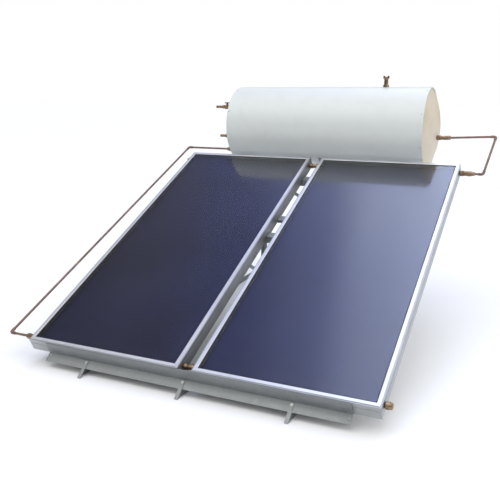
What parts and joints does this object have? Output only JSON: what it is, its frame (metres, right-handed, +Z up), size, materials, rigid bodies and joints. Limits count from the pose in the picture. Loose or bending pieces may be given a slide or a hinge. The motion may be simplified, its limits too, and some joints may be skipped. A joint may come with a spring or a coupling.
{
  "type": "solar water heater",
  "caption": "Thermosyphon solar water heater: tilted flat-plate glazed collectors on a steel stand feed a white horizontal storage tank through copper pipes.",
  "frame": {"origin": "on the ground under the middle of the heater's bounding box", "axes": "+X along the tank and across the collectors, +Y from the collectors' low front edge back to the tank, +Z up"},
  "size_m": [2.4806, 2.5974, 1.6474],
  "materials": {
    "casing_aluminium": "mill finish",
    "bead_aluminium": "bright satin",
    "back_sheet": "rolled sheet",
    "mineral_wool": "loose fibre",
    "absorber_coating": "selective coating, satin",
    "copper": "weathered copper",
    "solar_glass": "low-iron tempered glass",
    "black_rubber": "matt",
    "brass": "dull brass",
    "galvanised_steel": "galvanised",
    "zinc_fastener": "zinc plated",
    "white_paint": "satin white",
    "cap_plastic": "fine matt",
    "tank_enamel": "vitreous enamel",
    "foam": "rigid foam",
    "heater_metal": "satin",
    "anode_metal": "cast",
    "valve_chrome": "polished",
    "handle_metal": "dark satin"
  },
  "bodies": {
    "heater": {"anode_rod": "anode_metal", "base_rails": "galvanised_steel", "cold_inlet": "brass", "collector_clamps": "galvanised_steel", "crossbars": "galvanised_steel", "diagonal_struts": "galvanised_steel", "flow_elbows": "copper", "flow_pipe": "copper", "flow_tank_fitting": "brass", "flow_union": "brass", "frame_bolts": "zinc_fastener", "front_feet": "galvanised_steel", "front_rail": "galvanised_steel", "gusset_plates": "galvanised_steel", "header_grommets": "black_rubber", "header_unions": "brass", "hot_valve_body": "brass", "immersion_heater": "heater_metal", "inclined_rails": "galvanised_steel", "inner_tank": "tank_enamel", "left_absorber_plate": "absorber_coating", "left_back_sheet": "back_sheet", "left_end_rails": "casing_aluminium", "left_glass": "solar_glass", "left_glass_gasket": "black_rubber", "left_glazing_bead": "bead_aluminium", "left_headers": "copper", "left_insulation": "mineral_wool", "left_riser_tubes": "copper", "left_side_rails": "casing_aluminium", "lower_header_cap": "brass", "rear_braces": "galvanised_steel", "rear_legs": "galvanised_steel", "relief_valve_body": "brass", "return_elbows": "copper", "return_pipe": "copper", "return_tank_fitting": "brass", "return_union": "brass", "right_absorber_plate": "absorber_coating", "right_back_sheet": "back_sheet", "right_end_rails": "casing_aluminium", "right_glass": "solar_glass", "right_glass_gasket": "black_rubber", "right_glazing_bead": "bead_aluminium", "right_headers": "copper", "right_insulation": "mineral_wool", "right_riser_tubes": "copper", "right_side_rails": "casing_aluminium", "tank_bearers": "galvanised_steel", "tank_cap_left": "cap_plastic", "tank_cap_right": "cap_plastic", "tank_foam": "foam", "tank_jacket": "white_paint", "tank_saddles": "galvanised_steel", "upper_header_cap": "brass"},
    "relief_knob": {"relief_valve_knob": "brass"},
    "relief_spindle": {"relief_valve_spindle": "brass"},
    "hot_valve": {"hot_valve_ball": "valve_chrome", "hot_valve_handle": "handle_metal"}
  },
  "joints": [
    {"name": "relief_knob_turn", "type": "hinge", "parent": "heater", "child": "relief_knob", "pos_m": [0.436, 1.001, 1.6184], "axis": [0, 0, 1], "range_deg": [0, 90], "stiffness_Nm_per_rad": 0.02},
    {"name": "relief_spindle_lift", "type": "slide", "parent": "heater", "child": "relief_spindle", "axis": [0, 0, 1], "range_m": [0, 0.0031]},
    {"name": "hot_valve_turn", "type": "hinge", "parent": "heater", "child": "hot_valve", "pos_m": [-0.798, 0.862, 1.4154], "axis": [0, 0, 1], "range_deg": [0, 90]}
  ],
  "couplings": [
    {"joint": "relief_spindle_lift", "follows": "relief_knob_turn", "m_per_rad": 0.0019099}
  ]
}
